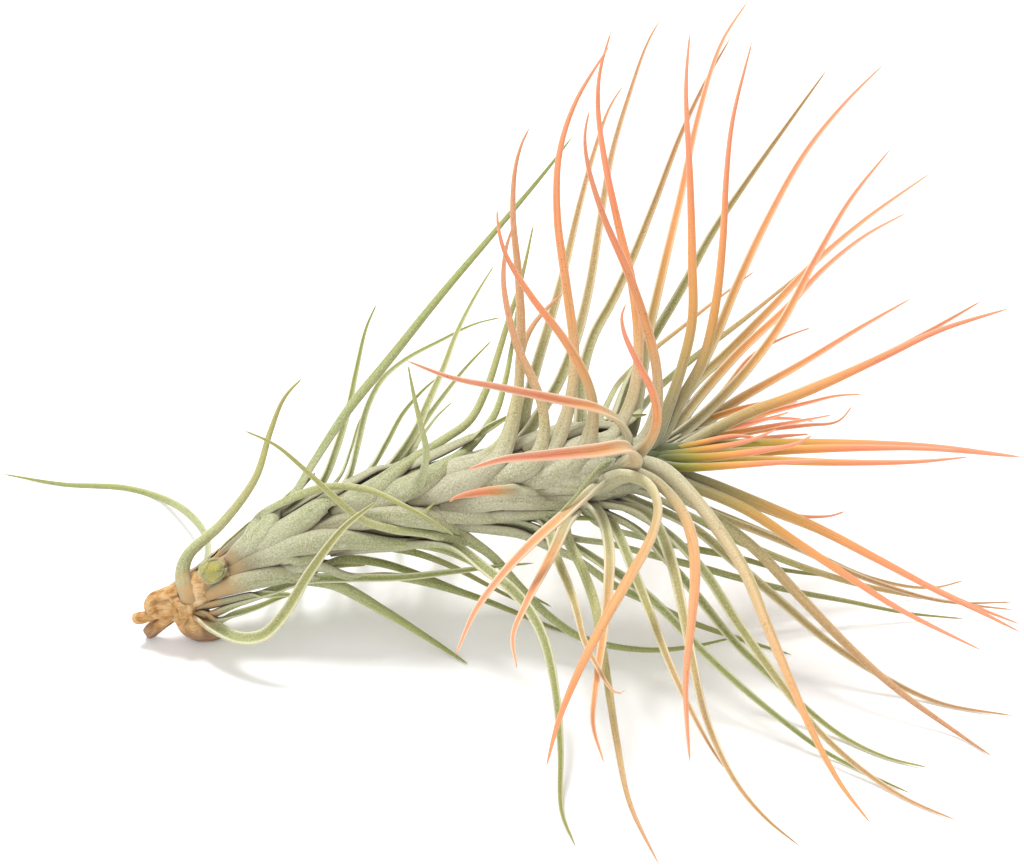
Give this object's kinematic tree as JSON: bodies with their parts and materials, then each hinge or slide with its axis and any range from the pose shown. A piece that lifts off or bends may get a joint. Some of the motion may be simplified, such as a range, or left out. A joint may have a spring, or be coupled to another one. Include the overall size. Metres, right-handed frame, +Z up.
{
  "type": "air plant",
  "caption": "Long-stemmed air plant lying on its side, with narrow channelled leaves, silver-green on the stem and coral at the growing tip.",
  "frame": {"origin": "on the surface that the plant lies on, under the middle of its bounding box", "axes": "+X along the stem from the dry foot to the growing tip, +Z up, +Y away from the picture's camera"},
  "size_m": [0.1501, 0.1123, 0.0781],
  "materials": {
    "green_leaf": "matte, felted with fine silver scales",
    "bronze_leaf": "matte, felted with fine silver scales",
    "coral_leaf": "satin, thinly scaled",
    "dry_wood": "dry, cracked and papery",
    "bud_green": "matte, hairy"
  },
  "bodies": {
    "root": {"green_leafy_stem": "green_leaf", "bronze_leafy_stem": "bronze_leaf", "coral_leafy_tip": "coral_leaf", "dry_foot": "dry_wood", "offset_bud": "bud_green"}
  },
  "joints": []
}
